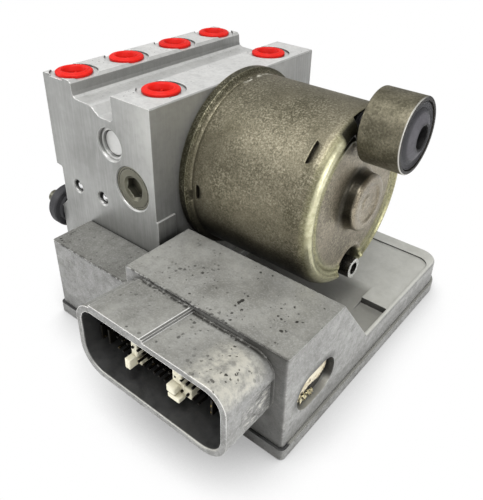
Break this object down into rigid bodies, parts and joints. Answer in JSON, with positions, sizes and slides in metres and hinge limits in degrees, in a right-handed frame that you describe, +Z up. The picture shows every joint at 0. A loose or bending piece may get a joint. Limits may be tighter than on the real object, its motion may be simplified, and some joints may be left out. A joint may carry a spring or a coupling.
{
  "type": "abs brake module",
  "caption": "Anti-lock brake module: machined valve block with capped line ports, pump motor, cast control unit with a connector shroud, rubber mounting bushes.",
  "frame": {"origin": "middle of the base cover's underside, with the module standing on its cover", "axes": "+Z up to the line ports, +X from the valve block to the pump motor, -Y out of the connector shroud"},
  "size_m": [0.1546, 0.1493, 0.1078],
  "materials": {
    "machined_aluminium": "satin, milled",
    "red_plastic": "moulded",
    "plug_steel": "olive chromate",
    "plug_aluminium": "turned",
    "bright_steel": "ground",
    "chromate_steel": "yellow chromate, worn",
    "bush_steel": "chromate, pitted",
    "black_rubber": "matt",
    "seal_rubber": "matt",
    "ferrite": "sintered",
    "black_plastic": "moulded",
    "carbon": "pressed",
    "cast_aluminium": "as cast, stained",
    "cover_aluminium": "as cast",
    "coil_steel": "stamped",
    "board_green": "lacquered",
    "pin_brass": "plated",
    "cream_plastic": "moulded",
    "vent_foil": "membrane with torn foil",
    "copper": "turned",
    "spring_steel": "wound wire"
  },
  "bodies": {
    "module": {"valve_block": "machined_aluminium", "outlet_cap_1": "red_plastic", "outlet_cap_2": "red_plastic", "outlet_cap_3": "red_plastic", "outlet_cap_4": "red_plastic", "inlet_cap_1": "red_plastic", "inlet_cap_2": "red_plastic", "pump_plugs": "plug_steel", "damper_plugs": "plug_aluminium", "ball_seals": "bright_steel", "accumulator_caps": "bright_steel", "inlet_valve_sleeves": "bright_steel", "outlet_valve_sleeves": "bright_steel", "motor_can": "chromate_steel", "motor_seal": "black_rubber", "field_magnets": "ferrite", "brush_holder": "black_plastic", "brushes": "carbon", "front_bearing": "bright_steel", "rear_bearing": "bright_steel", "motor_bolt": "plug_steel", "front_bush_stud": "plug_steel", "front_bush_cup": "bush_steel", "front_bush_rubber": "black_rubber", "rear_bush_rubber_a": "black_rubber", "rear_bush_rubber_b": "black_rubber", "rear_stud_a": "plug_steel", "rear_stud_b": "plug_steel", "ecu_housing": "cast_aluminium", "ecu_cover": "cover_aluminium", "cover_seal": "seal_rubber", "cover_screws": "plug_steel", "valve_coils": "coil_steel", "coil_carrier": "black_plastic", "circuit_board": "board_green", "connector_insert": "black_plastic", "connector_pins": "pin_brass", "connector_keys": "cream_plastic", "vent_disc": "vent_foil", "pump_spring_a": "spring_steel", "accumulator_spring_a": "spring_steel", "pump_spring_b": "spring_steel", "accumulator_spring_b": "spring_steel"},
    "rotor": {"motor_shaft": "bright_steel", "armature_core": "coil_steel", "commutator": "copper", "eccentric_bearing": "bright_steel"},
    "pump_piston_a": {"pump_piston_a": "bright_steel"},
    "accumulator_piston_a": {"accumulator_piston_a": "plug_aluminium"},
    "pump_piston_b": {"pump_piston_b": "bright_steel"},
    "accumulator_piston_b": {"accumulator_piston_b": "plug_aluminium"},
    "inlet_armature_1": {"inlet_valve_armature_1": "bright_steel"},
    "outlet_armature_1": {"outlet_valve_armature_1": "bright_steel"},
    "inlet_armature_2": {"inlet_valve_armature_2": "bright_steel"},
    "outlet_armature_2": {"outlet_valve_armature_2": "bright_steel"},
    "inlet_armature_3": {"inlet_valve_armature_3": "bright_steel"},
    "outlet_armature_3": {"outlet_valve_armature_3": "bright_steel"},
    "inlet_armature_4": {"inlet_valve_armature_4": "bright_steel"},
    "outlet_armature_4": {"outlet_valve_armature_4": "bright_steel"}
  },
  "joints": [
    {"name": "rotor_spin", "type": "hinge", "parent": "module", "child": "rotor", "pos_m": [-0.01738, 0.00765, 0.0627], "axis": [1, 0, 0], "continuous": true},
    {"name": "pump_slide_a", "type": "slide", "parent": "module", "child": "pump_piston_a", "axis": [0, -1, 0], "range_m": [0, 0.003], "stiffness_N_per_m": 600, "springref_m": -0.004, "deforming": ["pump_spring_a"]},
    {"name": "pump_slide_b", "type": "slide", "parent": "module", "child": "pump_piston_b", "axis": [0, 1, 0], "range_m": [0, 0.003], "stiffness_N_per_m": 600, "springref_m": -0.004, "deforming": ["pump_spring_b"]},
    {"name": "accumulator_slide_a", "type": "slide", "parent": "module", "child": "accumulator_piston_a", "axis": [0, 0, -1], "range_m": [0, 0.008], "stiffness_N_per_m": 400, "springref_m": -0.005, "deforming": ["accumulator_spring_a"]},
    {"name": "accumulator_slide_b", "type": "slide", "parent": "module", "child": "accumulator_piston_b", "axis": [0, 0, -1], "range_m": [0, 0.008], "stiffness_N_per_m": 400, "springref_m": -0.005, "deforming": ["accumulator_spring_b"]},
    {"name": "inlet_valve_slide_1", "type": "slide", "parent": "module", "child": "inlet_armature_1", "axis": [0, 0, 1], "range_m": [0, 0.0004], "stiffness_N_per_m": 500, "springref_m": -0.002},
    {"name": "inlet_valve_slide_2", "type": "slide", "parent": "module", "child": "inlet_armature_2", "axis": [0, 0, 1], "range_m": [0, 0.0004], "stiffness_N_per_m": 500, "springref_m": -0.002},
    {"name": "inlet_valve_slide_3", "type": "slide", "parent": "module", "child": "inlet_armature_3", "axis": [0, 0, 1], "range_m": [0, 0.0004], "stiffness_N_per_m": 500, "springref_m": -0.002},
    {"name": "inlet_valve_slide_4", "type": "slide", "parent": "module", "child": "inlet_armature_4", "axis": [0, 0, 1], "range_m": [0, 0.0004], "stiffness_N_per_m": 500, "springref_m": -0.002},
    {"name": "outlet_valve_slide_1", "type": "slide", "parent": "module", "child": "outlet_armature_1", "axis": [0, 0, 1], "range_m": [0, 0.0004], "stiffness_N_per_m": 500, "springref_m": -0.002},
    {"name": "outlet_valve_slide_2", "type": "slide", "parent": "module", "child": "outlet_armature_2", "axis": [0, 0, 1], "range_m": [0, 0.0004], "stiffness_N_per_m": 500, "springref_m": -0.002},
    {"name": "outlet_valve_slide_3", "type": "slide", "parent": "module", "child": "outlet_armature_3", "axis": [0, 0, 1], "range_m": [0, 0.0004], "stiffness_N_per_m": 500, "springref_m": -0.002},
    {"name": "outlet_valve_slide_4", "type": "slide", "parent": "module", "child": "outlet_armature_4", "axis": [0, 0, 1], "range_m": [0, 0.0004], "stiffness_N_per_m": 500, "springref_m": -0.002}
  ]
}
